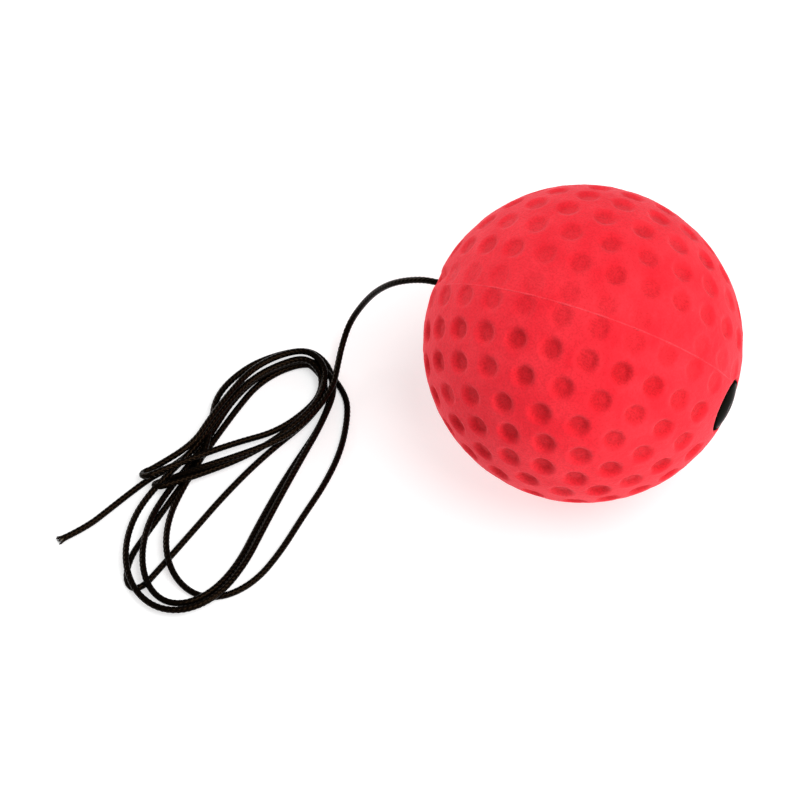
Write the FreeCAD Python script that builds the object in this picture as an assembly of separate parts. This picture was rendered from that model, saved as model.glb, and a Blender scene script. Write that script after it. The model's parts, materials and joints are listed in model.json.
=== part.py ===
# Reflex ball on its cord: a dimpled foam ball, the two-piece stopper that holds it on, and an
# elastic cord that leaves the ball, lies in a loose hank and ends in a cut end.
#
# Millimetres, +Z up. The origin is the point that the ball rests on. The ball's bore lies along X
# through its centre, with the stopper at +X and the cord leaving at -X.

import FreeCAD, Part

import math
import os

from FreeCAD import Vector

# The ball.
BALL_D = 64.0
SEAM_WIDTH = 0.35  # of the thin flash that the two mould halves leave
SEAM_HEIGHT = 0.12
SEAM_ROLL = 22.5  # degrees that the mould's pole is turned up from +Y, about the bore
SEAM_OFF_BORE = 7.0  # degrees between the parting plane and the bore

# The dimples lie in rows parallel to the seam, the same in both mould halves.
DIMPLE_D = 4.4
DIMPLE_DEPTH = 0.55
FIRST_ROW = 4.3  # degrees from the seam to the first row
ROW_STEP = 11.7  # degrees from one row to the next
FIRST_DIMPLE = -89.5  # degrees round the mould's pole, where a row with no shift begins
DIMPLE_ROWS = (  # dimples in the row, and the share of one spacing that it is shifted by
    (27, 0.0),
    (27, 0.0),
    (23, 0.5),
    (20, 0.1),
    (17, 0.35),
    (13, 0.4),
    (7, 0.95),
)

# The cord, and the foam drawn in around it where it leaves the ball.
CORD_D = 1.4
BORE_CLEARANCE = 0.3  # all round the cord
DISH_D = 8.0
DISH_DEPTH = 1.0

# The stopper: a flanged seat pushed into the foam, and a domed cap pressed into the seat.
FLANGE_D = 10.8
FLANGE_THICKNESS = 1.2
FLANGE_FACE = 31.4  # from the ball's centre
FLANGE_EDGE = 0.3  # chamfer
SPIGOT_D = 6.0
SPIGOT_LENGTH = 9.0
BARB_D = 6.8
BARB_PITCH = 2.6
BARB_COUNT = 3
SEAT_CLEARANCE = 0.1  # between the stopper and the foam
CORD_HOLE_D = 1.8
KNOT_POCKET_D = 4.4
KNOT_POCKET_DEPTH = 6.4
CAP_D = 9.8
CAP_SUNK = 0.5  # how far the cap sits into the flange
CAP_CLEARANCE = 0.05
CAP_TOP = 32.8  # from the ball's centre
CAP_PLUG_LENGTH = 1.6
KNOT_D = 3.8
KNOT_LENGTH = 3.2
KNOT_ROUNDING = 1.0

# The cord's route, where it isn't wound: down from the ball to the hank, and out to the cut end.
ARC_SHARE = 0.45  # of the shorter of two runs, taken up by the arc between them
LEAD_ROUTE = (
    (-31.0, 0.0, 32.0),
    (-34.5, 0.0, 32.0),
    (-39.0, -0.3, 29.6),
    (-43.2, -0.8, 25.4),
    (-47.0, -0.7, 19.6),
    (-50.3, -1.0, 13.2),
    (-52.6, -2.8, 7.2),
    (-52.2, -7.0, 4.2),
    (-51.0, -11.4, 3.6),
)
TAIL_ROUTE = (
    (-68.6, -48.8, 0.9),
    (-72.0, -52.4, 0.8),
    (-74.0, -57.0, 0.8),
    (-75.6, -63.4, 0.8),
    (-77.6, -69.6, 0.85),
    (-80.9, -74.7, 0.85),
)

# The hank's outer shape: the outline of its turns and the two gaps that they leave.
HANK_HEIGHT = 4.9
HANK_OUTLINE = (
    (-46.0, -10.0),
    (-60.0, -8.5),
    (-69.5, -17.0),
    (-71.0, -40.0),
    (-77.5, -53.5),
    (-71.5, -59.0),
    (-71.0, -76.0),
    (-58.0, -83.0),
    (-42.0, -75.0),
    (-35.5, -50.0),
    (-38.0, -22.0),
)
HANK_GAPS = (
    ((-54.5, -14.5), (-62.5, -17.0), (-65.0, -28.0), (-61.0, -38.0), (-53.5, -28.0)),
    ((-61.5, -51.0), (-61.0, -66.0), (-52.0, -71.0), (-46.5, -62.0), (-49.0, -38.0)),
)

# The cut end: the sheath has opened out and the rubber strands show.
FRAY_LENGTH = 1.2
FRAY_D = 1.66
FRAY_BORE_D = 0.9
STRAND_D = 0.34
STRAND_RING_R = 0.25
STRAND_LENGTHS = (1.5, 1.9, 1.3, 1.7)

BALL_R = BALL_D / 2
CORD_R = CORD_D / 2
CENTRE = Vector(0, 0, BALL_R)
BORE_AXIS = Vector(1, 0, 0)


def mould_direction(latitude, longitude):
    """The direction from the ball's centre at these degrees from the seam and round the mould's pole."""
    tilt = math.radians(SEAM_OFF_BORE)
    roll = math.radians(SEAM_ROLL)
    pole = Vector(-math.sin(tilt), math.cos(tilt) * math.cos(roll), math.cos(tilt) * math.sin(roll))
    along = Vector(math.cos(tilt), math.sin(tilt) * math.cos(roll), math.sin(tilt) * math.sin(roll))
    across = pole.cross(along)
    lat = math.radians(latitude)
    lon = math.radians(longitude)
    level = along * math.cos(lon) + across * math.sin(lon)
    return level * math.cos(lat) + pole * math.sin(lat)


def dimple_directions():
    """Every dimple of both mould halves, poles included."""
    found = [mould_direction(90, 0), mould_direction(-90, 0)]
    for row, (count, shift) in enumerate(DIMPLE_ROWS):
        latitude = FIRST_ROW + ROW_STEP * row
        for i in range(count):
            longitude = FIRST_DIMPLE + 360.0 * (i + shift) / count
            found.append(mould_direction(latitude, longitude))
            found.append(mould_direction(-latitude, longitude))
    return found


def clear_of_fittings(direction):
    """True where a whole dimple fits beside the stopper's flange and the dish round the cord."""
    fitting_r = FLANGE_D / 2 if direction.x > 0 else DISH_D / 2
    nearest = math.asin((fitting_r + DIMPLE_D / 2) / BALL_R)
    return math.acos(abs(direction.x)) > nearest


def hollow_cutter(direction, diameter, depth):
    """A sphere that cuts a round hollow of this diameter and depth into the ball's surface."""
    rim = diameter / 2
    below_rim = depth - (BALL_R - math.sqrt(BALL_R**2 - rim**2))
    radius = (rim**2 + below_rim**2) / (2 * below_rim)
    return Part.makeSphere(radius, CENTRE + direction * (BALL_R - depth + radius))


def on_bore(x_start, x_end, diameter):
    """A cylinder on the bore's axis, from one distance from the ball's centre to another."""
    return Part.makeCylinder(diameter / 2, x_end - x_start, CENTRE + BORE_AXIS * x_start, BORE_AXIS)


def turned(edges, start, axis):
    """The solid that closed edges, drawn in the XZ plane, sweep when turned about an axis."""
    return Part.Face(Part.Wire(edges)).revolve(start, axis, 360)


def turned_profile(profile):
    """A solid of revolution about the bore, from corners (distance from the ball's centre, radius)."""
    corners = [CENTRE + Vector(x, 0, r) for x, r in profile]
    edges = [Part.makeLine(a, b) for a, b in zip(corners, corners[1:] + corners[:1])]
    return turned(edges, CENTRE, BORE_AXIS)


def seam_flash():
    """The thin ring of foam that stands up where the mould halves met."""
    pole = mould_direction(90, 0)
    foot = CENTRE - pole * (SEAM_WIDTH / 2)
    outside = Part.makeCylinder(BALL_R + SEAM_HEIGHT, SEAM_WIDTH, foot, pole)
    return outside.cut(Part.makeCylinder(BALL_R - SEAM_WIDTH, SEAM_WIDTH, foot, pole))


def foam_ball():
    """The moulded ball with its seam flash, dimples, bore, stopper recess and cord dish."""
    dimples = [
        hollow_cutter(direction, DIMPLE_D, DIMPLE_DEPTH)
        for direction in dimple_directions()
        if clear_of_fittings(direction)
    ]
    flange_back = FLANGE_FACE - FLANGE_THICKNESS
    spigot_end = flange_back - SPIGOT_LENGTH
    fittings = [
        hollow_cutter(-BORE_AXIS, DISH_D, DISH_DEPTH),
        on_bore(-BALL_R, spigot_end, CORD_D + 2 * BORE_CLEARANCE),
        on_bore(spigot_end - SEAT_CLEARANCE, flange_back, BARB_D + 2 * SEAT_CLEARANCE),
        on_bore(flange_back - SEAT_CLEARANCE, BALL_R, FLANGE_D + 2 * SEAT_CLEARANCE),
    ]
    moulded = Part.makeSphere(BALL_R, CENTRE, mould_direction(90, 0)).cut(dimples)
    return moulded.fuse(seam_flash()).cut(fittings)


def stopper_seat():
    """Flange and barbed spigot, with the knot's pocket open at the flange's face."""
    flange_back = FLANGE_FACE - FLANGE_THICKNESS
    spigot_end = flange_back - SPIGOT_LENGTH
    pocket_end = FLANGE_FACE - KNOT_POCKET_DEPTH
    profile = [
        (spigot_end, CORD_HOLE_D / 2),
        (pocket_end, CORD_HOLE_D / 2),
        (pocket_end, KNOT_POCKET_D / 2),
        (FLANGE_FACE - CAP_SUNK, KNOT_POCKET_D / 2),
        (FLANGE_FACE - CAP_SUNK, CAP_D / 2 + CAP_CLEARANCE),
        (FLANGE_FACE, CAP_D / 2 + CAP_CLEARANCE),
        (FLANGE_FACE, FLANGE_D / 2 - FLANGE_EDGE),
        (FLANGE_FACE - FLANGE_EDGE, FLANGE_D / 2),
        (flange_back, FLANGE_D / 2),
        (flange_back, SPIGOT_D / 2),
    ]
    for barb in reversed(range(BARB_COUNT)):
        tip = spigot_end + BARB_PITCH * barb
        profile += [
            (tip + BARB_PITCH * 0.75, SPIGOT_D / 2),
            (tip + BARB_PITCH * 0.6, BARB_D / 2),
            (tip, SPIGOT_D / 2),
        ]
    return turned_profile(profile)


def stopper_cap():
    """A lens-shaped dome on a disc, with a plug that closes the knot's pocket."""
    disc_back = FLANGE_FACE - CAP_SUNK
    plug_r = KNOT_POCKET_D / 2 - CAP_CLEARANCE
    corners = [
        (disc_back - CAP_PLUG_LENGTH, 0),
        (disc_back - CAP_PLUG_LENGTH, plug_r),
        (disc_back, plug_r),
        (disc_back, CAP_D / 2),
        (FLANGE_FACE, CAP_D / 2),
    ]
    rise = CAP_TOP - FLANGE_FACE
    dome_r = ((CAP_D / 2) ** 2 + rise**2) / (2 * rise)
    half_way = math.asin(CAP_D / 2 / dome_r) / 2
    top = CENTRE + Vector(CAP_TOP, 0, 0)
    middle = CENTRE + Vector(CAP_TOP - dome_r * (1 - math.cos(half_way)), 0, dome_r * math.sin(half_way))
    points = [CENTRE + Vector(x, 0, r) for x, r in corners]
    edges = [Part.makeLine(a, b) for a, b in zip(points, points[1:])]
    edges.append(Part.Arc(points[-1], middle, top).toShape())
    edges.append(Part.makeLine(top, points[0]))
    return turned(edges, CENTRE, BORE_AXIS)


def knot_back():
    """Where the knot bears on the floor of its pocket, from the ball's centre."""
    return FLANGE_FACE - KNOT_POCKET_DEPTH


def cord_knot():
    """The tight knot that the stopper seat holds."""
    barrel = on_bore(knot_back(), knot_back() + KNOT_LENGTH, KNOT_D)
    return barrel.makeFillet(KNOT_ROUNDING, [e for e in barrel.Edges if e.Closed])


def cord_bore_run():
    """The cord inside the ball, from the dish to the knot."""
    return on_bore(LEAD_ROUTE[0][0], knot_back(), CORD_D)


def rounded_edges(route, closed=False):
    """(edges, radii) of straight runs joined by tangent arcs, each as large as its two runs allow."""
    points = [Vector(*p) for p in route]
    count = len(points)
    corners = range(count) if closed else range(1, count - 1)
    arcs = []
    radii = []
    for i in corners:
        corner = points[i]
        back = points[i - 1] - corner
        on = points[(i + 1) % count] - corner
        reach = ARC_SHARE * min(back.Length, on.Length)
        half_turn = (math.pi - back.getAngle(on)) / 2
        radius = reach / math.tan(half_turn)
        back.normalize()
        on.normalize()
        inward = back + on
        inward.normalize()
        middle = corner + inward * (math.hypot(radius, reach) - radius)
        arcs.append(Part.Arc(corner + back * reach, middle, corner + on * reach).toShape())
        radii.append(radius)
    if closed:
        ends = [(a.lastVertex().Point, b.firstVertex().Point) for a, b in zip(arcs, arcs[1:] + arcs[:1])]
        lines = [Part.LineSegment(a, b).toShape() for a, b in ends]
        return [edge for pair in zip(arcs, lines) for edge in pair], radii
    starts = [points[0]] + [a.lastVertex().Point for a in arcs]
    stops = [a.firstVertex().Point for a in arcs] + [points[-1]]
    lines = [Part.LineSegment(a, b).toShape() for a, b in zip(starts, stops)]
    edges = lines[:1]
    for arc, line in zip(arcs, lines[1:]):
        edges += [arc, line]
    return edges, radii


def cord_tube(name, route):
    """The cord as a plain tube along a route. Prints its length, its radii and its volume's error."""
    edges, radii = rounded_edges(route)
    path = Part.Wire(edges)
    start = Vector(*route[0])
    section = Part.Wire(Part.makeCircle(CORD_R, start, Vector(*route[1]) - start))
    tube = path.makePipeShell([section], True, False)
    expected = math.pi * CORD_R**2 * path.Length
    print(
        f"{name}: length {path.Length:.1f}, last straight {edges[-1].Length:.2f}, "
        f"radii {[round(r, 1) for r in radii]}, volume off by {tube.Volume / expected - 1:.2%}"
    )
    return tube


def cord_lead():
    return cord_tube("cord_lead", LEAD_ROUTE)


def cord_tail():
    return cord_tube("cord_tail", TAIL_ROUTE)


def slab(outline):
    """A flat solid as high as the hank, with a rounded outline."""
    edges, _ = rounded_edges([(x, y, 0) for x, y in outline], closed=True)
    return Part.Face(Part.Wire(edges)).extrude(Vector(0, 0, HANK_HEIGHT))


def cord_hank():
    """The outer shape of the wound turns, lying flat."""
    return slab(HANK_OUTLINE).cut([slab(gap) for gap in HANK_GAPS])


def tail_end():
    """Where the cord was cut, and the direction that it points in."""
    before = Vector(*TAIL_ROUTE[-2])
    end = Vector(*TAIL_ROUTE[-1])
    direction = end - before
    direction.normalize()
    return end, direction


def frayed_sheath():
    """The braid, opened out at the cut."""
    end, direction = tail_end()
    opened = Part.makeCone(CORD_R, FRAY_D / 2, FRAY_LENGTH, end, direction)
    return opened.cut(Part.makeCylinder(FRAY_BORE_D / 2, FRAY_LENGTH, end, direction))


def core_strands():
    """The rubber strands of the core, standing out of the frayed sheath."""
    end, direction = tail_end()
    side = direction.cross(Vector(0, 0, 1))
    side.normalize()
    above = side.cross(direction)
    strands = []
    for i, length in enumerate(STRAND_LENGTHS):
        angle = math.radians(45 + 90 * i)
        foot = end + (side * math.cos(angle) + above * math.sin(angle)) * STRAND_RING_R
        strands.append(Part.makeCylinder(STRAND_D / 2, length, foot, direction))
    return Part.makeCompound(strands)


PIECES = (
    foam_ball,
    stopper_seat,
    stopper_cap,
    cord_knot,
    cord_bore_run,
    cord_lead,
    cord_hank,
    cord_tail,
    frayed_sheath,
    core_strands,
)


def main():
    os.makedirs("parts", exist_ok=True)
    for make in PIECES:
        shape = make()
        if not shape.isValid():
            raise ValueError(f"{make.__name__} isn't a valid shape")
        shape.exportStep(f"parts/{make.__name__}.step")
        print(f"{make.__name__}: {len(shape.Solids)} solid(s), {shape.Volume:.1f} mm3")


main()
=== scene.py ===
import json
import math

import bpy
import numpy as np
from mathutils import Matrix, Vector, noise


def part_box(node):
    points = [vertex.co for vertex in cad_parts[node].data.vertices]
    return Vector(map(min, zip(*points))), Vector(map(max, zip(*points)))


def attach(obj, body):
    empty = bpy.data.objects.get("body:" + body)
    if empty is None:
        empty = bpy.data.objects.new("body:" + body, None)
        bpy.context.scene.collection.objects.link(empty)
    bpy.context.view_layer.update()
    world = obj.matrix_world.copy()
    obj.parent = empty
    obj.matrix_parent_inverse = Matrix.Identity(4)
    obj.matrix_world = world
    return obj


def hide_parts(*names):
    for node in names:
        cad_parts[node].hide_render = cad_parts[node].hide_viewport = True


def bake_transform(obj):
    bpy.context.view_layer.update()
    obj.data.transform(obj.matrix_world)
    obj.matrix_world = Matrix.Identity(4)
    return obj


# A foam reflex ball on its elastic cord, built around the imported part.
#
# Metres, +Z up, in the part's frame: the origin is the point that the ball rests on, the bore runs
# along X through the ball's centre, the stopper is at +X and the cord leaves at -X.

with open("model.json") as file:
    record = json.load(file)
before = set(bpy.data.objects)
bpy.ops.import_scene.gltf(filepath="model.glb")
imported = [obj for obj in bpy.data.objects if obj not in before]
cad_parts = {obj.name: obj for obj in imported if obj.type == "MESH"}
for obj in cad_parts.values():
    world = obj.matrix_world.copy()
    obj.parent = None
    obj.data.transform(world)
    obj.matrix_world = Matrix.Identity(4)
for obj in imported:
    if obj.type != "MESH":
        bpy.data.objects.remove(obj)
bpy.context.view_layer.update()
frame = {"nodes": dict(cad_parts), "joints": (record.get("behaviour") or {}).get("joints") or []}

MM = 0.001
CENTRE = Vector(next(j for j in frame["joints"] if j["name"] == "ball_spin")["pos_m"])
BALL_R = CENTRE.z

# The camera, on the side where the cord's hank lies in front of the ball.
CAMERA_AZIMUTH = 28.0
CAMERA_ELEVATION = 57.0
CAMERA_DISTANCE = 0.56
CAMERA_LENS = 125.2
CAMERA_AIM = Vector((-0.0280, -0.0256, 0.0258))

# The cord's free stretches, close along the part's: from the ball to the hank, and on to the cut.
CORD_D = 1.4 * MM
CORD_R = CORD_D / 2
LEAD_ROUTE = (
    (-31.0, 0.0, 32.0),
    (-34.5, 0.0, 31.3),
    (-39.0, -0.3, 28.9),
    (-43.3, -0.8, 25.4),
    (-47.1, -0.6, 19.7),
    (-50.2, -0.9, 13.2),
    (-52.4, -2.7, 7.2),
    (-52.0, -6.9, 4.2),
    (-50.6, -11.3, 3.6),
)
TAIL_ROUTE = (
    (-69.9, -48.6, 0.9),
    (-72.2, -52.3, 0.8),
    (-74.0, -57.1, 0.8),
    (-75.9, -62.9, 0.8),
    (-77.9, -69.1, 0.85),
    (-80.6, -73.4, 0.85),
)
# The cord's first run across the hank, down to the first fold.
FIRST_RUN = (
    (-49.0, -16.4),
    (-49.2, -22.5),
    (-50.6, -29.7),
    (-54.1, -35.6),
    (-58.2, -40.8),
    (-62.8, -46.2),
    (-66.6, -50.0),
)

# The band that every turn passes through, from the shoulder round the crown and down to the waist:
# a station's place, the direction in degrees that its lanes count outwards in, and half its width.
BAND = (
    ((-49.4, -16.3), 22, 2.3),
    ((-53.1, -12.6), 66, 1.6),
    ((-57.9, -11.8), 104, 1.4),
    ((-62.8, -15.2), 125, 2.0),
    ((-66.3, -21.2), 150, 2.35),
    ((-67.6, -28.8), 182, 2.3),
    ((-67.2, -36.0), 184, 1.9),
    ((-66.6, -42.8), 178, 1.8),
)
# The stations where each turn's lane is given: shoulder, crown, past the crown, left side and waist.
LANE_STATIONS = (0, 2, 3, 5, 7)
# Each turn: its lanes, then its foot (centre, half width and half length, lean, first and last angle,
# and the heights of its far and near side where it stands up from the others), then its run back up
# (how far it bows out, how late along the run, and its end). The first turn has no lanes, because the
# cord comes to its foot by the first run.
TURNS = (
    (
        None,
        (-69.2, -53.3), (1.15, 1.6), -50, (150, 380), (0.75, 2.7), 2.5, 1.3, (-50.2, -22.5),
    ),
    (
        (-0.6, 0.7, 0.1, -0.2, 0.6),
        (-72.4, -52.9), (1.2, 1.6), -38, (150, 385), (2.2, 4.1), 2.4, 3.6, (-50.9, -22.0),
    ),
    (
        (-0.8, -0.4, -0.9, -0.4, 0.4),
        (-57.6, -61.2), (13.0, 18.4), 11, (158, 350), None, -0.4, 1.0, (-46.9, -25.1),
    ),
    (
        (0.5, -0.4, -0.7, -0.3, -0.1),
        (-56.7, -59.7), (10.6, 17.9), 10, (158, 347), None, -0.9, 1.0, (-47.3, -25.1),
    ),
    (
        (0.2, 1.5, 0.85, 1.1, -0.8),
        (-52.5, -53.9), (12.5, 18.9), 9, (165, 350), None, 2.5, 1.5, (-43.9, -18.9),
    ),
    (
        (1.1, -0.4, -0.75, -1.1, -0.55),
        (-63.2, -70.4), (3.1, 6.7), 9, (150, 335), None, -1.8, 1.4, (-50.1, -24.5),
    ),
)
LAST_LANES = (-0.4, -0.3, -0.45, 0.1, 0.6)
POINTS_PER_FOOT = 8
POINTS_PER_RISE = 4

# How the turns settle, in millimetres: the height that they drop from, how far apart they come to
# rest, how strongly an earlier turn stays on top of a later one, and the fall in one step.
STACK_HEIGHT = 9.0
TURN_SPACING = CORD_D / MM * 1.03  # a little over a diameter
EARLIER_ON_TOP = 0.5
SETTLING_STEPS = 460
FAST_FALL = 0.035
SLOW_FALL = 0.01
FALLS_SLOWLY_AFTER = 0.7  # of the steps
# How many places on the line go with one point, how many places along the line two of them have to
# be apart before they count as touching, and how often the touching places are looked for again.
PLACES_PER_POINT = 8
NEIGHBOURS = 9
STEPS_PER_SEARCH = 10
# How much of an overlap, of a sideways shift and of a bend up or down one step makes good. The
# softening keeps a push small where few places touch.
PUSH_SHARE = 1.1
PUSH_SOFTENING = 0.15
HOMING_SHARE = 0.12
STRAIGHTENING_SHARE = 0.12

# The braid: crowns round the cord, the length of one crown and how far it stands up, in diameters.
CROWNS_ROUND = 4
CROWN_LENGTH = 0.75
CROWN_HEIGHT = 0.025
YARN_HEIGHT = 0.05 * MM  # how far the yarn stands up in the material's bump

# The foam's dimples, in rows on both sides of the mould's seam, as in the part.
SEAM_ROLL = 22.5
SEAM_OFF_BORE = 7.0
SEAM_WIDTH = 0.42 * MM
SEAM_HEIGHT = 0.08 * MM
SEAM_ROOT = 0.1 * MM  # how deep it starts in the foam
SEAM_CREST = 0.35  # the width of its flat top, as a share of its own
SEAM_DIPS = 0.03 * MM  # how far it follows a dimple down
SEAM_FADES = (0.25, 0.75)  # where it sinks away, as shares of the radius towards the cord's side
SEAM_SUNK = 1.1  # how far, as a share of its height
SEAM_PATCHES = (9, 0.5)  # how closely its faint places follow each other, and how much they differ
DIMPLE_D = 4.4 * MM
DIMPLE_FLOOR = 1.35 * MM  # from a dimple's middle to where its wall starts, and to where it ends
DIMPLE_REACH = 2.65 * MM
DIMPLE_DEPTH = 1.1 * MM
DIMPLE_RIM = 0.07 * MM
DIMPLE_RIM_WIDTH = 0.5 * MM
DIMPLE_WEAR = (5, 0.9, 0.35)  # how closely worn places follow each other, the usual depth, its spread
WIDENED = 0.1 * MM  # how much wider the ball is round its seam
NARROWING = 1.4  # from the seam to the mould's poles, as a share of that
UNEVENNESS = ((6, 0.06), (45, 0.02))  # scale and height in millimetres of the foam's own bumps
SEAM_ROW_DEPTH = 0.5  # how deep the rows along the seam are, as a share of the others
UPPER_HALF_DEPTH = 0.62  # and the rows of the mould's upper half
FIRST_ROW = 4.3
ROW_STEP = 11.7
FIRST_DIMPLE = -89.5
DIMPLE_ROWS = ((27, 0.0), (27, 0.0), (23, 0.5), (20, 0.1), (17, 0.35), (13, 0.4), (7, 0.95))

# The foam's inside: the dish that the cord leaves from, the bore, and the stopper's socket.
DISH_R = 4.0 * MM
DISH_DEPTH = 1.0 * MM
BORE_R = 1.0 * MM
SOCKET_R = 3.5 * MM
SOCKET_CLEARANCE = 0.1 * MM
FLANGE_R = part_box("stopper_seat")[1].y
SEAT_END, FLANGE_FACE = (corner.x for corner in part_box("stopper_seat"))
RECESS_R = FLANGE_R + SOCKET_CLEARANCE
RECESS_FLOOR = FLANGE_FACE - 1.3 * MM
LIP_ROUNDING = 0.45 * MM

# The stopper: its flange stands a little proud of the foam, and a low domed cap sits in it.
FLANGE_THICKNESS = 1.2 * MM
FLANGE_TOP = FLANGE_FACE + 0.3 * MM
RIM_ROUNDING = 0.35 * MM
SPIGOT_R = 3.0 * MM
BARB_R = 3.4 * MM
BARB_PITCH = 2.6 * MM
BARB_COUNT = 3
BARB_SECTION = (  # one barb, back to front: along the bore from its tip, and radius
    (BARB_PITCH * 0.75, SPIGOT_R),
    (BARB_PITCH * 0.62, BARB_R - 0.04 * MM),
    (BARB_PITCH * 0.55, BARB_R),
    (0.02 * MM, SPIGOT_R - 0.1 * MM),
)
SPIGOT_FILLET = 0.3 * MM
FLANGE_EDGE = 0.15 * MM
CORD_HOLE_R = 0.9 * MM
KNOT_POCKET_R = 2.2 * MM
CAP_R = 4.9 * MM
CAP_SUNK = 0.5 * MM
SEAT_EDGE = 0.06 * MM  # the chamfer round the cap, along the bore
CAP_CLEARANCE = 0.05 * MM
CAP_EDGE = 0.05 * MM
CAP_PLUG = 1.6 * MM
PLUG_EDGE = 0.15 * MM
CAP_MIDDLE_R = 0.02 * MM  # the flat at the middle of its underside
DOME_SHARES = (0.99, 0.005)  # the dome's outermost and innermost ring, as shares of its radius
DOME_RINGS = 26
CAP_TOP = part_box("stopper_cap")[1].x - 0.3 * MM
PIP_R = 0.9 * MM
PIP_DEPTH = 0.08 * MM
KNOT_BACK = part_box("cord_knot")[0].x

# Where the cord leaves, its pull has drawn the foam in: how deep and wide, how far above the seam,
# how far from the exit it has died away, and over what distance it starts beside the dish.
PULL_DEPTH = 1.75 * MM
PULL_WIDTH = 1.25 * MM
PULL_ABOVE_SEAM = 2.8 * MM
PULL_LENGTH = 22.0 * MM
PULL_START = 2.0 * MM

# The cut end: the fibres' lengths and how far they spring outwards, in millimetres, how far out they
# start as shares of the cord's radius, and how far back inside the cord.
FRAY_SEED = 11
END_RINGS = 8  # how many of the cord's last rings give the direction that it ends in
FIBRES = 46
FIBRE_R = 0.085 * MM
FIBRE_LOWEST = FIBRE_R * 1.2
FIBRE_SCATTER = 0.1  # how far from even they stand round the cord, in radians
FIBRE_LENGTHS = (1.1, 1.7)
FIBRE_FLARES = (0.12, 0.4)
FIBRE_ROOTS = (0.68, 0.9)
FIBRE_START = 0.4 * MM
NOTCH = (110, 160)  # the side where the fibres have worn short, in degrees round the cord
NOTCH_LENGTH = 0.3
CORE_R = 0.17 * MM
CORE_RING_R = 0.25 * MM
CORE_LENGTHS = (0.9 * MM, 1.15 * MM, 0.7 * MM, 1.0 * MM)
CORE_START = 0.5 * MM
CORE_FLARE = 0.12 * MM
THREAD_TAPER = 0.35  # how much thinner a fibre or strand is at its end

# Colours.
FOAM_RED = (0.84, 0.012, 0.026)
FOAM_PALE = (0.90, 0.026, 0.042)
# The darker red towards the middle of each dimple, a painted shade.
FOAM_DIMPLE_SHADE = (0.56, 0.004, 0.010)
FOAM_PORE = (0.45, 0.003, 0.008)
# The seam's paler red, a painted highlight along its ridge.
FLASH_PAINTED_HIGHLIGHT = (0.90, 0.06, 0.08)
# How strongly the dimples are painted with shade.
DIMPLE_PAINTED_SHADE = 0.62
PORES_OUTSIDE = 0.26  # how strong the open pores show, and how much stronger inside a dimple, where the extra is painted shade
PORES_AND_SHADE_IN_DIMPLES = 0.3
# The braid's black, and the brown of a painted highlight on its crowns.
BRAID_BLACK = (0.0008, 0.0007, 0.0006)
BRAID_CROWN_HIGHLIGHT = (0.005, 0.0025, 0.001)
SEAT_BLACK = (0.002, 0.002, 0.002)
CAP_BLACK = (0.003, 0.003, 0.002)
PLASTIC_HAZE = (0.005, 0.005, 0.003)
CORE_PALE = (0.12, 0.09, 0.05)
CORE_STAIN = (0.06, 0.04, 0.02)

# The materials' texture: features to the metre, and how far the grain and the lumps stand up.
MOTTLE_SCALE = 160
GRAIN_SCALE = 2600
GRAIN_HEIGHT = 0.13 * MM
LUMP_SCALE = 900
LUMP_HEIGHT = 0.18 * MM
BRAID_PATCH_SCALE = 90
HAZE_SCALE = 400
PLASTIC_GRAIN_SCALE = 5000
PLASTIC_GRAIN_HEIGHT = 0.01 * MM
STAIN_SCALE = 2500

# Each light: its name, azimuth and elevation in degrees, distance, width, and power in watts.
LIGHTS = (
    ("key", 86, 64, 0.9, 0.7, 6.8),
    ("fill", -100, 16, 0.9, 0.5, 3.4),
    ("low", 76, 10, 0.9, 0.15, 2.3),
)
WORLD_STRENGTH = 0.35
# The floor glows a little, which keeps the ball's shadow and its red reflection faint.
FLOOR_HALF = 3.0
FLOOR_GREY = 0.6
FLOOR_GLOW = 0.55

# How finely the ball, its seam and its stopper are divided.
AROUND_BORE = 384
OUTER_RINGS = 186
LIP_STEPS = 6
DISH_STEPS = 10
SEAM_STEPS = 900
AROUND_STOPPER = 128


def turned_by(x, y, degrees):
    """The vector (x, y) turned anticlockwise by some degrees."""
    c = math.cos(math.radians(degrees))
    s = math.sin(math.radians(degrees))
    return x * c - y * s, x * s + y * c


def band_points(lanes):
    """A turn's way through the band, with its lane eased from one named lane to the next."""
    eased = np.interp(range(len(BAND)), LANE_STATIONS, lanes)
    found = []
    for ((x, y), outwards, half_width), lane in zip(BAND, eased):
        dx, dy = turned_by(half_width * lane, 0, outwards)
        found.append((x + dx, y + dy, math.nan))
    return found


def foot_points(centre, size, lean, arc, heights):
    """The end loop of a turn: an arc of a leaning ellipse, held up where it has heights."""
    low, high = heights or (math.nan, math.nan)
    found = []
    for angle in np.radians(np.linspace(*arc, POINTS_PER_FOOT)):
        dx, dy = turned_by(size[0] * math.cos(angle), size[1] * math.sin(angle), lean)
        held = low + (high - low) * (1 + math.cos(angle)) / 2
        found.append((centre[0] + dx, centre[1] + dy, held))
    return found


def rise_points(start, end, bow, late):
    """The run from a foot back up to the shoulder, bowed outwards, more so towards its end."""
    run = np.subtract(end, start)
    outwards = np.array((run[1], -run[0])) / np.hypot(*run)
    shares = np.linspace(0, 1, POINTS_PER_RISE + 1)[1:]
    places = [start + run * s + outwards * bow * math.sin(math.pi * s**late) for s in shares]
    return [(x, y, math.nan) for x, y in places]


def hank_points():
    """The turns one after another, in millimetres, as seen from above, with any held heights."""
    found = [(x, y, math.nan) for x, y in FIRST_RUN]
    for lanes, centre, size, lean, arc, heights, bow, late, end in TURNS:
        if lanes:
            found += band_points(lanes)
        found += foot_points(centre, size, lean, arc, heights)
        found += rise_points(found[-1][:2], end, bow, late)
    return np.array(found + band_points(LAST_LANES))


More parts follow.
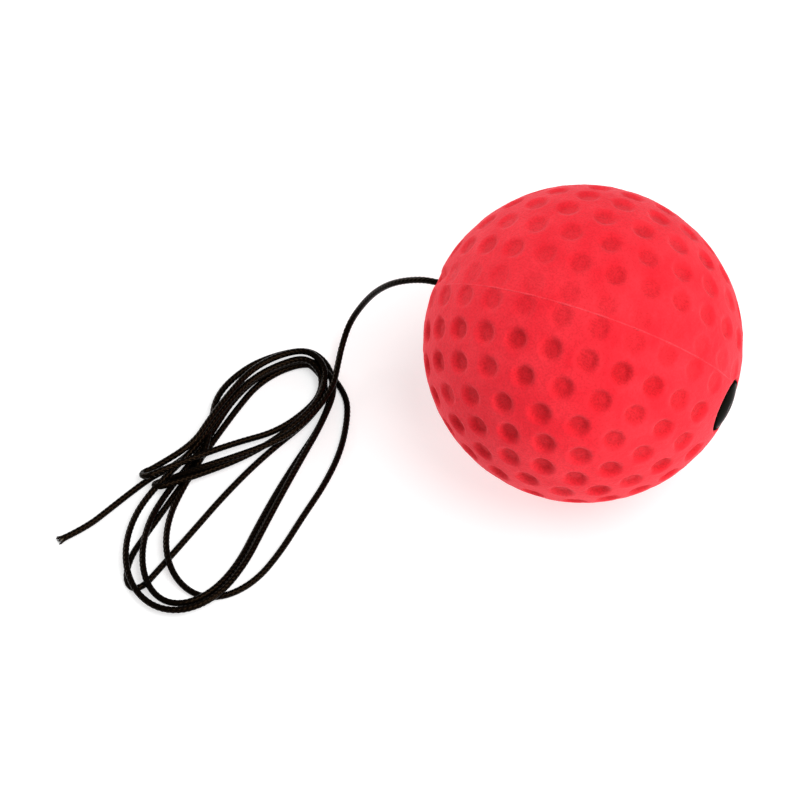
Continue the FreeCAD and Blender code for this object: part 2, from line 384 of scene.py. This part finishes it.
def spline_weights(count):
    """How much each control point of a smooth line counts at evenly spaced places along it."""
    weights = np.zeros(((count - 2) * PLACES_PER_POINT, count))
    for k in range(PLACES_PER_POINT):
        t = (k + 0.5) / PLACES_PER_POINT
        share = ((1 - t) ** 2 / 2, 0.5 + t * (1 - t), t * t / 2)
        for i in range(count - 2):
            weights[i * PLACES_PER_POINT + k, i : i + 3] = share
    return weights


def settled(route, free):
    """The route after its turns have dropped onto each other and the floor, about a diameter apart."""
    floor = CORD_R / MM
    weights = spline_weights(len(route))
    start = PLACES_PER_POINT * int(np.argmax(free))
    home = route.copy()
    for step in range(SETTLING_STEPS):
        line = weights @ route
        if step % STEPS_PER_SEARCH == 0:
            flat = line[:, :2]
            apart = np.abs(flat[:, None, :] - flat[None, :, :]).max(2)
            a, b = np.nonzero(np.triu(apart < 2 * TURN_SPACING, NEIGHBOURS))
            a, b = a[a >= start], b[a >= start]
        away = line[a] - line[b]
        distance = np.linalg.norm(away, axis=1)
        near = distance < TURN_SPACING
        away = away[near] + (0, 0, EARLIER_ON_TOP)
        overlap = TURN_SPACING - distance[near]
        push = away / np.linalg.norm(away, axis=1)[:, None] * overlap[:, None] / 2
        moves = np.zeros_like(line)
        counts = np.zeros(len(line))
        np.add.at(moves, a[near], push)
        np.add.at(moves, b[near], -push)
        np.add.at(counts, a[near], 1)
        np.add.at(counts, b[near], 1)
        moves /= np.maximum(counts, 1)[:, None]
        pushed = weights.T @ moves / (weights.T @ (counts > 0) + PUSH_SOFTENING)[:, None]
        change = PUSH_SHARE * pushed
        change[:, 2] -= FAST_FALL if step < FALLS_SLOWLY_AFTER * SETTLING_STEPS else SLOW_FALL
        change[:, :2] += HOMING_SHARE * (home - route)[:, :2]
        route[free] += change[free]
        bent = (np.roll(route, 1, 0) + np.roll(route, -1, 0)) / 2 - route
        route[free, 2] += STRAIGHTENING_SHARE * bent[free, 2]
        route[free, 2] = np.maximum(route[free, 2], floor)
    return route


def cord_route():
    """Every control point of the cord, in millimetres."""
    turns = hank_points()
    held = ~np.isnan(turns[:, 2])
    stack = np.linspace(STACK_HEIGHT, CORD_R / MM, len(turns))
    turns[:, 2] = np.where(held, turns[:, 2], stack)
    route = np.concatenate((LEAD_ROUTE, turns, TAIL_ROUTE))
    free = np.zeros(len(route), bool)
    free[len(LEAD_ROUTE) : -len(TAIL_ROUTE)] = ~held
    return settled(route, free)


def spline_points(name, route):
    """The points of the smooth line that a route's control points make, read from Blender's spline."""
    curve = bpy.data.curves.new(name, "CURVE")
    curve.dimensions = "3D"
    spline = curve.splines.new("NURBS")
    spline.points.add(len(route) - 1)
    for point, place in zip(spline.points, route):
        point.co = (*(Vector(place) * MM), 1.0)
    spline.order_u = 3
    spline.use_endpoint_u = True
    spline.resolution_u = 12
    holder = bpy.data.objects.new(name, curve)
    mesh = bpy.data.meshes.new_from_object(holder)
    points = np.array([v.co for v in mesh.vertices])
    bpy.data.meshes.remove(mesh)
    bpy.data.objects.remove(holder)
    bpy.data.curves.remove(curve)
    return points


def evenly(points, step):
    """The same line with its points a step apart, and the distance along it of each."""
    along = np.concatenate(([0], np.cumsum(np.linalg.norm(np.diff(points, axis=0), axis=1))))
    at = np.linspace(0, along[-1], max(2, round(along[-1] / step) + 1))
    return np.stack([np.interp(at, along, points[:, k]) for k in range(3)], axis=1), at


def side_vectors(points):
    """Two directions square to the line at each point, carried along it without twisting."""
    ahead = np.gradient(points, axis=0)
    ahead /= np.linalg.norm(ahead, axis=1)[:, None]
    side = Vector(ahead[0]).orthogonal().normalized()
    sides = []
    for a in ahead:
        a = Vector(a)
        side = (side - a * side.dot(a)).normalized()
        sides.append((side, a.cross(side)))
    sides = np.array(sides)
    return sides[:, 0], sides[:, 1]


def new_piece(name, vertices, faces, material, uvs=None):
    """A smooth-shaded mesh object with one material."""
    mesh = bpy.data.meshes.new(name)
    mesh.from_pydata([tuple(v) for v in vertices], [], faces)
    if uvs is not None:
        layer = mesh.uv_layers.new(name="UVMap")
        layer.data.foreach_set("uv", np.array(uvs, np.float32).ravel())
    mesh.shade_smooth()
    mesh.materials.append(material)
    piece = bpy.data.objects.new(name, mesh)
    bpy.context.scene.collection.objects.link(piece)
    return piece


def new_material(name, roughness):
    """A material with its nodes, links and shader to hand."""
    material = bpy.data.materials.new(name)
    material.use_nodes = True
    nodes = material.node_tree.nodes
    shader = nodes["Principled BSDF"]
    shader.inputs["Roughness"].default_value = roughness
    return material, nodes, material.node_tree.links, shader


def noise_node(nodes, links, scale, detail=3.0):
    """Noise over the object's own coordinates, at so many features to the metre."""
    place = nodes.new("ShaderNodeTexCoord")
    texture = nodes.new("ShaderNodeTexNoise")
    texture.inputs["Scale"].default_value = scale
    texture.inputs["Detail"].default_value = detail
    links.new(place.outputs["Object"], texture.inputs["Vector"])
    return texture.outputs["Fac"]


def ramp_node(nodes, links, value, stops):
    """A colour ramp with (position, colour) stops."""
    ramp = nodes.new("ShaderNodeValToRGB")
    elements = ramp.color_ramp.elements
    while len(elements) < len(stops):
        elements.new(0.5)
    for element, (position, colour) in zip(elements, stops):
        element.position = position
        element.color = (*colour, 1)
    links.new(value, ramp.inputs["Fac"])
    return ramp.outputs["Color"]


def mix_node(nodes, links, share, first, second):
    mix = nodes.new("ShaderNodeMix")
    mix.data_type = "RGBA"
    for socket, value in (("Factor", share), ("A", first), ("B", second)):
        target = next(s for s in mix.inputs if s.name == socket and s.enabled)
        if isinstance(value, tuple):
            target.default_value = (*value, 1)
        else:
            links.new(value, target)
    return next(s for s in mix.outputs if s.enabled)


def math_node(nodes, links, operation, first, second=0.0):
    node = nodes.new("ShaderNodeMath")
    node.operation = operation
    for socket, value in zip(node.inputs, (first, second)):
        if isinstance(value, (int, float)):
            socket.default_value = value
        else:
            links.new(value, socket)
    return node.outputs[0]


def bump_node(nodes, links, height, distance, strength=1.0, below=None):
    bump = nodes.new("ShaderNodeBump")
    bump.inputs["Distance"].default_value = distance
    bump.inputs["Strength"].default_value = strength
    links.new(height, bump.inputs["Height"])
    if below:
        links.new(below, bump.inputs["Normal"])
    return bump.outputs["Normal"]


def foam_material(name, plain, pale):
    """Matt moulded foam: a fine grain with open pores, a mottled red, and painted shade deeper down in the
    dimples, where the pores also show stronger.
    """
    material, nodes, links, shader = new_material(name, roughness=0.82)
    dent = nodes.new("ShaderNodeAttribute")
    dent.attribute_name = "dent"
    mottle = noise_node(nodes, links, MOTTLE_SCALE, detail=6)
    mottle = ramp_node(nodes, links, mottle, [(0.35, plain), (0.65, pale)])
    # Painted shade: the red darkens towards each dimple's middle.
    dimple_shade = math_node(nodes, links, "MULTIPLY", dent.outputs["Fac"], DIMPLE_PAINTED_SHADE)
    colour = mix_node(nodes, links, dimple_shade, mottle, FOAM_DIMPLE_SHADE)
    pores = noise_node(nodes, links, GRAIN_SCALE, detail=3)
    pores = ramp_node(nodes, links, pores, [(0.36, (1, 1, 1)), (0.58, (0, 0, 0))])
    # The pores are the foam's own grain. Showing them stronger inside the dimples is painted shade.
    share = math_node(nodes, links, "MULTIPLY_ADD", dent.outputs["Fac"], PORES_AND_SHADE_IN_DIMPLES)
    share.node.inputs[2].default_value = PORES_OUTSIDE
    colour = mix_node(nodes, links, math_node(nodes, links, "MULTIPLY", pores, share), colour, FOAM_PORE)
    links.new(colour, shader.inputs["Base Color"])
    grain = noise_node(nodes, links, GRAIN_SCALE, detail=4)
    grain = bump_node(nodes, links, grain, GRAIN_HEIGHT, strength=0.9)
    lumps = noise_node(nodes, links, LUMP_SCALE, detail=3)
    lumps = bump_node(nodes, links, lumps, LUMP_HEIGHT, strength=0.7, below=grain)
    links.new(lumps, shader.inputs["Normal"])
    shader.inputs["Specular IOR Level"].default_value = 0.2
    shader.inputs["Sheen Weight"].default_value = 0.22
    shader.inputs["Sheen Roughness"].default_value = 0.5
    shader.inputs["Sheen Tint"].default_value = (1.0, 0.35, 0.42, 1)
    return material


def crown_nodes(nodes, links):
    """How far up a braid crown a place is, from -1 in a gap to 1 on a crown, from the cord's UVs."""
    uv = nodes.new("ShaderNodeUVMap")
    uv.uv_map = "UVMap"
    parts = nodes.new("ShaderNodeSeparateXYZ")
    links.new(uv.outputs["UV"], parts.inputs["Vector"])
    along = math_node(nodes, links, "MULTIPLY", parts.outputs["X"], 2 * math.pi / CROWN_LENGTH)
    around = math_node(nodes, links, "MULTIPLY", parts.outputs["Y"], 2 * math.pi * CROWNS_ROUND)
    return math_node(
        nodes,
        links,
        "MULTIPLY",
        math_node(nodes, links, "COSINE", along),
        math_node(nodes, links, "COSINE", around),
    )


def braid_material():
    """Black braided elastic, browner where the yarn stands up: a painted highlight on the crowns."""
    material, nodes, links, shader = new_material("cord_braid", roughness=0.25)
    crown = crown_nodes(nodes, links)
    lifted = math_node(nodes, links, "MULTIPLY_ADD", crown, 0.5)
    lifted.node.inputs[2].default_value = 0.5
    # Painted highlight: browner on the crowns than in the gaps.
    crown_highlight = ramp_node(nodes, links, lifted, [(0.5, BRAID_BLACK), (1.0, BRAID_CROWN_HIGHLIGHT)])
    patches = noise_node(nodes, links, BRAID_PATCH_SCALE, detail=2)
    links.new(mix_node(nodes, links, patches, crown_highlight, BRAID_BLACK), shader.inputs["Base Color"])
    yarn_bump = bump_node(nodes, links, lifted, YARN_HEIGHT, strength=0.7)
    links.new(yarn_bump, shader.inputs["Normal"])
    shader.inputs["IOR"].default_value = 1.2
    shader.inputs["Specular IOR Level"].default_value = 0.3
    shader.inputs["Specular Tint"].default_value = (1.0, 0.56, 0.3, 1)
    return material


def plastic_material(name, colour, roughness, ior):
    """Moulded black plastic with a faint haze and a fine moulded grain."""
    material, nodes, links, shader = new_material(name, roughness)
    haze = noise_node(nodes, links, HAZE_SCALE, detail=4)
    haze = ramp_node(nodes, links, haze, [(0.35, colour), (0.75, PLASTIC_HAZE)])
    links.new(haze, shader.inputs["Base Color"])
    grain = noise_node(nodes, links, PLASTIC_GRAIN_SCALE, detail=2)
    grain = bump_node(nodes, links, grain, PLASTIC_GRAIN_HEIGHT, strength=0.5)
    links.new(grain, shader.inputs["Normal"])
    shader.inputs["IOR"].default_value = ior
    return material


def rubber_material():
    """The pale rubber of the cord's core, a little stained."""
    material, nodes, links, shader = new_material("core_rubber", roughness=0.7)
    stain = noise_node(nodes, links, STAIN_SCALE, detail=3)
    stain = ramp_node(nodes, links, stain, [(0.35, CORE_PALE), (0.7, CORE_STAIN)])
    links.new(stain, shader.inputs["Base Color"])
    return material


def floor_material():
    """A plain matt floor."""
    material, _, _, shader = new_material("floor", roughness=0.9)
    shader.inputs["Base Color"].default_value = (FLOOR_GREY, FLOOR_GREY, FLOOR_GREY, 1)
    shader.inputs["Specular IOR Level"].default_value = 0.1
    shader.inputs["Emission Color"].default_value = (1, 1, 1, 1)
    shader.inputs["Emission Strength"].default_value = FLOOR_GLOW
    return material


def cord_tube(name, points, material, sides=20, step=0.22 * MM):
    """A braided tube along the points, as (piece, ring centres)."""
    rings, along = evenly(points, step)
    first, second = side_vectors(rings)
    angles = np.linspace(0, 2 * math.pi, sides, endpoint=False)
    cosines = np.cos(angles)[None, :, None]
    sines = np.sin(angles)[None, :, None]
    around = first[:, None] * cosines + second[:, None] * sines
    crown_along = np.cos(2 * math.pi * along / CORD_D / CROWN_LENGTH)
    crown_around = np.cos(CROWNS_ROUND * angles)
    radius = CORD_R + CORD_D * CROWN_HEIGHT * (crown_along[:, None] * crown_around[None, :] - 1)
    vertices = (rings[:, None] + around * radius[:, :, None]).reshape(-1, 3)
    faces = []
    uvs = []
    for i in range(len(rings) - 1):
        for j in range(sides):
            k = (j + 1) % sides
            faces.append((i * sides + j, i * sides + k, (i + 1) * sides + k, (i + 1) * sides + j))
            uvs += [
                (along[i] / CORD_D, j / sides),
                (along[i] / CORD_D, (j + 1) / sides),
                (along[i + 1] / CORD_D, (j + 1) / sides),
                (along[i + 1] / CORD_D, j / sides),
            ]
    ends = (range(sides - 1, -1, -1), range((len(rings) - 1) * sides, len(rings) * sides))
    for cap in ends:
        faces.append(tuple(cap))
        uvs += [(0, 0)] * sides
    return new_piece(name, vertices, faces, material, uvs), rings


def mould_direction(latitude, longitude):
    """The direction from the ball's centre at these degrees from the seam and round the mould's pole."""
    tilt = math.radians(SEAM_OFF_BORE)
    roll = math.radians(SEAM_ROLL)
    pole = Vector((-math.sin(tilt), math.cos(tilt) * math.cos(roll), math.cos(tilt) * math.sin(roll)))
    along = Vector((math.cos(tilt), math.sin(tilt) * math.cos(roll), math.sin(tilt) * math.sin(roll)))
    across = pole.cross(along)
    lat = math.radians(latitude)
    lon = math.radians(longitude)
    level = along * math.cos(lon) + across * math.sin(lon)
    return level * math.cos(lat) + pole * math.sin(lat)


def dimples():
    """(direction, depth in metres) of every dimple that fits beside the stopper and the dish."""
    found = [mould_direction(90, 0), mould_direction(-90, 0)]
    for row, (count, shift) in enumerate(DIMPLE_ROWS):
        latitude = FIRST_ROW + ROW_STEP * row
        for i in range(count):
            longitude = FIRST_DIMPLE + 360.0 * (i + shift) / count
            found.append(mould_direction(latitude, longitude))
            found.append(mould_direction(-latitude, longitude))
    pole = mould_direction(90, 0)
    directions = []
    depths = []
    for direction in found:
        fitting_r = FLANGE_R if direction.x > 0 else DISH_R
        nearest = math.asin((fitting_r + DIMPLE_D / 2) / BALL_R)
        if math.acos(abs(direction.x)) <= nearest:
            continue
        seam_row = abs(direction.dot(pole)) < math.sin(math.radians(ROW_STEP))
        scale, usual, spread = DIMPLE_WEAR
        worn = usual + spread * noise.noise(direction * scale)
        directions.append(direction)
        half = UPPER_HALF_DEPTH if direction.dot(pole) > 0 else 1
        depths.append(DIMPLE_DEPTH * worn * half * (SEAM_ROW_DEPTH if seam_row else 1))
    return np.array(directions), np.array(depths)


def exit_pull(directions):
    """How deep the foam is drawn in above the seam, beside where the cord leaves."""
    pole = np.array(mould_direction(90, 0))
    above_seam = np.arcsin(directions @ pole) * BALL_R
    from_exit = np.arccos(np.clip(-directions[:, 0], -1, 1)) * BALL_R
    across = (above_seam - PULL_ABOVE_SEAM) / PULL_WIDTH
    along = np.clip(from_exit / PULL_LENGTH, 0, 1)
    start = np.clip((from_exit - DISH_R) / PULL_START, 0, 1)
    return PULL_DEPTH * np.exp(-across * across) * (1 - along**3) ** 2 * start * start * (3 - 2 * start)


def foam_relief(directions):
    """How far the foam stands above the plain ball, and how deep in a dimple it is, 0 to 1, each way."""
    middles, depths = dimples()
    nearness = directions @ middles.T
    nearest = nearness.argmax(1)
    away = np.arccos(np.clip(nearness.max(1), -1, 1)) * BALL_R
    share = np.clip((away - DIMPLE_FLOOR) / (DIMPLE_REACH - DIMPLE_FLOOR), 0, 1)
    dent = 1 - share * share * (3 - 2 * share)
    rim = np.exp(-(((away - DIMPLE_REACH) / DIMPLE_RIM_WIDTH) ** 2))
    relief = (rim * DIMPLE_RIM / DIMPLE_DEPTH - dent) * depths[nearest] - exit_pull(directions)
    relief += WIDENED * (1 - NARROWING * (directions @ np.array(mould_direction(90, 0))) ** 2)
    uneven = [
        sum(height * noise.noise(Vector(d) * scale) for scale, height in UNEVENNESS) for d in directions
    ]
    return relief + np.array(uneven) * MM, dent * depths[nearest] / DIMPLE_DEPTH


def foam_outline():
    """The foam's half section, (along the bore from the centre, radius), once round from dish to dish."""
    start = math.asin(DISH_R / BALL_R)
    stop = math.pi - math.asin((RECESS_R + LIP_ROUNDING) / BALL_R)
    outside = [(-BALL_R * math.cos(a), BALL_R * math.sin(a)) for a in np.linspace(start, stop, OUTER_RINGS)]
    lip_x = outside[-1][0] - LIP_ROUNDING
    lip = [
        (lip_x + LIP_ROUNDING * math.sin(a), RECESS_R + LIP_ROUNDING * (1 - math.cos(a)))
        for a in np.linspace(math.pi / 2, 0, LIP_STEPS)[1:]
    ]
    inside = [
        (RECESS_FLOOR, RECESS_R),
        (RECESS_FLOOR, SOCKET_R),
        (SEAT_END - SOCKET_CLEARANCE, SOCKET_R),
        (SEAT_END - SOCKET_CLEARANCE, BORE_R),
        (DISH_DEPTH - BALL_R, BORE_R),
    ]
    radii = np.linspace(BORE_R, DISH_R, DISH_STEPS)[1:-1]
    dish = [
        (DISH_DEPTH * (1 + math.cos(math.pi * r / DISH_R)) / 2 - math.sqrt(BALL_R**2 - r * r), r)
        for r in radii
    ]
    return outside + lip + inside + dish


def turned(outline, around, wrap):
    """(vertices, faces) of an outline turned about the bore. Its points are (along the bore, radius)."""
    angles = np.linspace(0, 2 * math.pi, around, endpoint=False)
    spokes = np.stack([np.zeros_like(angles), np.cos(angles), np.sin(angles)], axis=1)
    vertices = np.concatenate([np.array([x, 0, 0]) + spokes * r for x, r in outline])
    rings = len(outline)
    faces = []
    for i in range(rings if wrap else rings - 1):
        a = i * around
        b = (i + 1) % rings * around
        for j in range(around):
            k = (j + 1) % around
            faces.append((a + j, b + j, b + k, a + k))
    if not wrap:
        faces.append(tuple(range(around)))
        faces.append(tuple(reversed(range((rings - 1) * around, rings * around))))
    return vertices, faces


def foam_ball(material):
    """The ball as one closed mesh, turned about its bore, with its dimples pressed in."""
    vertices, faces = turned(foam_outline(), AROUND_BORE, True)
    outer = np.arange(len(vertices)) < OUTER_RINGS * AROUND_BORE
    directions = vertices[outer] / np.linalg.norm(vertices[outer], axis=1)[:, None]
    relief, dent = foam_relief(directions)
    vertices[outer] += directions * relief[:, None]
    vertices[:, 2] = np.maximum(vertices[:, 2], -BALL_R)  # flat where it rests
    ball = new_piece("foam", vertices + np.array(CENTRE), faces, material)
    dents = np.zeros(len(vertices), np.float32)
    dents[outer] = dent
    ball.data.attributes.new("dent", "FLOAT", "POINT").data.foreach_set("value", dents)
    return ball


def rounded_corner(x, r, radius, start, stop, steps=6):
    """Points round a corner whose middle is at (x, r), from one angle in degrees to another."""
    return [
        (x + radius * math.cos(a), r + radius * math.sin(a))
        for a in np.radians(np.linspace(start, stop, steps))
    ]


def stopper_seat(material):
    """The stopper's seat: a round-rimmed flange on a barbed spigot, bored for the cord and its knot."""
    back = FLANGE_FACE - FLANGE_THICKNESS
    outline = [(SEAT_END, CORD_HOLE_R), (KNOT_BACK, CORD_HOLE_R), (KNOT_BACK, KNOT_POCKET_R)]
    seat_r = CAP_R + CAP_CLEARANCE
    outline += [(FLANGE_TOP - CAP_SUNK, KNOT_POCKET_R), (FLANGE_TOP - CAP_SUNK, seat_r)]
    outline += [(FLANGE_TOP - SEAT_EDGE, seat_r), (FLANGE_TOP, seat_r + CAP_EDGE)]
    outline += rounded_corner(FLANGE_TOP - RIM_ROUNDING, FLANGE_R - RIM_ROUNDING, RIM_ROUNDING, 15, 90)
    outline += rounded_corner(back + FLANGE_EDGE, FLANGE_R - FLANGE_EDGE, FLANGE_EDGE, 90, 180, 4)
    outline += [(back, SPIGOT_R + SPIGOT_FILLET), (back - SPIGOT_FILLET, SPIGOT_R)]
    for barb in reversed(range(BARB_COUNT)):
        tip = SEAT_END + BARB_PITCH * barb
        outline += [(tip + along, r) for along, r in BARB_SECTION]
    vertices, faces = turned(outline, AROUND_STOPPER, True)
    return new_piece("stopper_seat_moulding", vertices + np.array(CENTRE), faces, material)


def stopper_cap(material):
    """The stopper's cap: a low dome over a disc, with a plug into the knot's pocket and a moulding pip."""
    base = FLANGE_TOP - CAP_SUNK
    rise = CAP_TOP - FLANGE_TOP
    dome_r = (CAP_R**2 + rise**2) / (2 * rise)
    plug_r = KNOT_POCKET_R - CAP_CLEARANCE
    outline = [(base - CAP_PLUG, CAP_MIDDLE_R), (base - CAP_PLUG, plug_r - PLUG_EDGE)]
    outline += [(base - CAP_PLUG + PLUG_EDGE, plug_r), (base, plug_r)]
    outline += [(base, CAP_R - CAP_EDGE), (base + CAP_EDGE, CAP_R), (FLANGE_TOP - CAP_EDGE, CAP_R)]
    for share in np.linspace(*DOME_SHARES, DOME_RINGS):
        r = CAP_R * share
        pip = PIP_DEPTH * math.exp(-((r / PIP_R) ** 4))
        outline.append((CAP_TOP - dome_r + math.sqrt(dome_r**2 - r * r) - pip, r))
    vertices, faces = turned(outline, AROUND_STOPPER, False)
    return new_piece("stopper_cap_moulding", vertices + np.array(CENTRE), faces, material)


def seam_flash(material):
    """The thin ridge that the mould left, wherever it lies on the ball's outside."""
    longitudes = np.linspace(0, 360, SEAM_STEPS, endpoint=False)
    directions = np.array([mould_direction(0, lon) for lon in longitudes])
    relief, _ = foam_relief(directions)
    pole = np.array(mould_direction(90, 0))
    half = SEAM_WIDTH / 2
    relief = np.maximum(relief, WIDENED - exit_pull(directions) - SEAM_DIPS)
    faded = np.clip((-directions[:, 0] - SEAM_FADES[0]) / (SEAM_FADES[1] - SEAM_FADES[0]), 0, 1)
    scale, spread = SEAM_PATCHES
    uneven = np.array([noise.noise(Vector(d) * scale) for d in directions])
    relief -= SEAM_HEIGHT * np.clip(faded + spread * uneven, 0, SEAM_SUNK)
    crest = half * SEAM_CREST
    section = ((-half, -SEAM_ROOT), (-crest, SEAM_HEIGHT), (crest, SEAM_HEIGHT), (half, -SEAM_ROOT))
    off_bore = np.hypot(directions[:, 1], directions[:, 2]) * BALL_R
    limit = np.where(directions[:, 0] > 0, RECESS_R + LIP_ROUNDING, DISH_R)
    shown = off_bore > limit + SEAM_WIDTH
    first = int(np.argmax(shown & ~np.roll(shown, 1)))
    vertices = []
    faces = []
    previous = None
    for i in np.roll(np.arange(SEAM_STEPS), -first):
        if not shown[i]:
            previous = None
            continue
        here = len(vertices)
        for across, up in section:
            place = directions[i] * (BALL_R + relief[i] + up) + pole * across
            vertices.append(place + np.array(CENTRE))
        if previous is None:
            faces.append((here, here + 1, here + 2, here + 3))
        else:
            for k in range(4):
                n = (k + 1) % 4
                faces.append((previous + k, previous + n, here + n, here + k))
        following = (i + 1) % SEAM_STEPS
        if not shown[following]:
            faces.append((here + 3, here + 2, here + 1, here))
        previous = here
    return new_piece("seam_flash", vertices, faces, material)


def thread(points, radius, sides=6):
    """(vertices, faces) of a thin closed tube that tapers a little towards its end."""
    points = np.array(points)
    first, second = side_vectors(points)
    vertices = []
    faces = []
    for i, place in enumerate(points):
        thin = radius * (1 - THREAD_TAPER * i / (len(points) - 1))
        for a in np.linspace(0, 2 * math.pi, sides, endpoint=False):
            vertices.append(place + (first[i] * math.cos(a) + second[i] * math.sin(a)) * thin)
    for i in range(len(points) - 1):
        for j in range(sides):
            k = (j + 1) % sides
            faces.append((i * sides + j, i * sides + k, (i + 1) * sides + k, (i + 1) * sides + j))
    faces.append(tuple(reversed(range(sides))))
    faces.append(tuple(range((len(points) - 1) * sides, len(points) * sides)))
    return vertices, faces


def joined(name, parts, material):
    """One piece of several (vertices, faces) parts."""
    vertices = []
    faces = []
    for more_vertices, more_faces in parts:
        start = len(vertices)
        vertices += list(more_vertices)
        faces += [tuple(v + start for v in face) for face in more_faces]
    return new_piece(name, vertices, faces, material)


def frayed_end(rings, fibre_material, rubber):
    """The cut end: braid fibres that have sprung outwards, and the rubber strands among them."""
    random = np.random.default_rng(FRAY_SEED)
    end = rings[-1]
    ahead = end - rings[-END_RINGS]
    ahead /= np.linalg.norm(ahead)
    side = np.cross(ahead, (0, 0, 1))
    side /= np.linalg.norm(side)
    above = np.cross(side, ahead)
    fibres = []
    for i in range(FIBRES):
        angle = 2 * math.pi * i / FIBRES + random.uniform(-FIBRE_SCATTER, FIBRE_SCATTER)
        outwards = side * math.cos(angle) + above * math.sin(angle)
        length = random.uniform(*FIBRE_LENGTHS) * MM
        if NOTCH[0] < math.degrees(angle) < NOTCH[1]:
            length *= NOTCH_LENGTH
        flare = random.uniform(*FIBRE_FLARES) * MM
        root = end + outwards * CORD_R * random.uniform(*FIBRE_ROOTS) - ahead * FIBRE_START
        points = []
        for t in np.linspace(0, 1, 6):
            place = root + ahead * (length + FIBRE_START) * t + outwards * flare * t * t
            place[2] = max(place[2], FIBRE_LOWEST)
            points.append(place)
        fibres.append(thread(points, FIBRE_R))
    strands = []
    for i, length in enumerate(CORE_LENGTHS):
        angle = math.radians(45 + 90 * i)
        outwards = side * math.cos(angle) + above * math.sin(angle)
        root = end + outwards * CORE_RING_R - ahead * CORE_START
        points = [
            root + ahead * (length + CORE_START) * t + outwards * CORE_FLARE * t * t
            for t in np.linspace(0, 1, 5)
        ]
        strands.append(thread(points, CORE_R, sides=10))
    return (
        joined("frayed_fibres", fibres, fibre_material),
        joined("core_rubber_strands", strands, rubber),
    )


def look(camera, place, aim):
    camera.location = place
    camera.rotation_euler = (aim - place).to_track_quat("-Z", "Y").to_euler()


def from_angles(azimuth, elevation):
    """The direction towards a viewer at this azimuth and elevation, in degrees."""
    a = math.radians(azimuth)
    e = math.radians(elevation)
    return Vector((math.sin(a) * math.cos(e), -math.cos(a) * math.cos(e), math.sin(e)))


def add_camera():
    camera = bpy.data.objects.new("camera", bpy.data.cameras.new("camera"))
    camera.data.lens = CAMERA_LENS
    camera.data.clip_start = 0.01
    bpy.context.scene.collection.objects.link(camera)
    back = from_angles(CAMERA_AZIMUTH, CAMERA_ELEVATION)
    look(camera, CAMERA_AIM + back * CAMERA_DISTANCE, CAMERA_AIM)
    bpy.context.scene.camera = camera


def add_light(name, azimuth, elevation, distance, size, power):
    lamp = bpy.data.lights.new(name, "AREA")
    lamp.shape = "DISK"
    lamp.size = size
    lamp.energy = power
    light = bpy.data.objects.new(name, lamp)
    bpy.context.scene.collection.objects.link(light)
    look(light, CENTRE + from_angles(azimuth, elevation) * distance, CENTRE)


def add_floor():
    mesh = bpy.data.meshes.new("floor")
    h = FLOOR_HALF
    mesh.from_pydata([(-h, -h, 0), (h, -h, 0), (h, h, 0), (-h, h, 0)], [], [(0, 1, 2, 3)])
    mesh.materials.append(floor_material())
    floor = bpy.data.objects.new("floor", mesh)
    bpy.context.scene.collection.objects.link(floor)


def add_world():
    world = bpy.data.worlds.new("studio")
    world.use_nodes = True
    background = world.node_tree.nodes["Background"]
    background.inputs["Strength"].default_value = WORLD_STRENGTH
    background.inputs["Color"].default_value = (1, 1, 1, 1)
    bpy.context.scene.world = world
    bpy.context.scene.view_settings.view_transform = "Standard"


def paint(node, material):
    """Gives a CAD node its material."""
    mesh = frame["nodes"][node].data
    mesh.materials.clear()
    mesh.materials.append(material)


def add_cord(braid):
    """The free cord, from the ball to its cut end."""
    points = spline_points("cord_line", cord_route())
    cord, rings = cord_tube("cord", points, braid)
    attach(cord, "cord")
    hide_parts("cord_lead", "cord_hank", "cord_tail")
    fibres, strands = frayed_end(rings, braid, rubber_material())
    for piece, node, slot in (
        (fibres, "frayed_sheath", "cord_braid"),
        (strands, "core_strands", "core_rubber"),
    ):
        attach(piece, "cord")
        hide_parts(node)


def add_bore_cord(braid):
    """The cord inside the ball, a straight tube from where it leaves the foam to the knot."""
    start = Vector((LEAD_ROUTE[0][0] * MM, 0, BALL_R))
    end = Vector((KNOT_BACK, 0, BALL_R))
    line = np.array([start.lerp(end, t) for t in np.linspace(0, 1, 60)])
    bore_cord, _ = cord_tube("bore_cord", line, braid, sides=16, step=0.3 * MM)
    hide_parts("cord_bore_run")
    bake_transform(bore_cord)


def add_ball():
    foam = foam_material("foam", FOAM_RED, FOAM_PALE)
    ball = foam_ball(foam)
    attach(ball, "ball")
    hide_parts("foam_ball")
    # The seam is painted paler than the ball, a painted highlight along its ridge.
    seam = seam_flash(foam_material("foam_flash", FOAM_PALE, FLASH_PAINTED_HIGHLIGHT))
    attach(seam, "ball")


def add_stopper():
    satin = plastic_material("stopper_seat_plastic", SEAT_BLACK, roughness=0.4, ior=1.01)
    gloss = plastic_material("stopper_cap_plastic", CAP_BLACK, roughness=0.16, ior=1.025)
    seat = stopper_seat(satin)
    cap = stopper_cap(gloss)
    for piece, node, slot in (
        (seat, "stopper_seat", "stopper_seat_plastic"),
        (cap, "stopper_cap", "stopper_cap_plastic"),
    ):
        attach(piece, "stopper")
        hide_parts(node)


add_camera()
add_world()
add_floor()
for light in LIGHTS:
    add_light(*light)
braid = braid_material()
add_cord(braid)
add_bore_cord(braid)
add_ball()
add_stopper()
paint("cord_knot", braid)
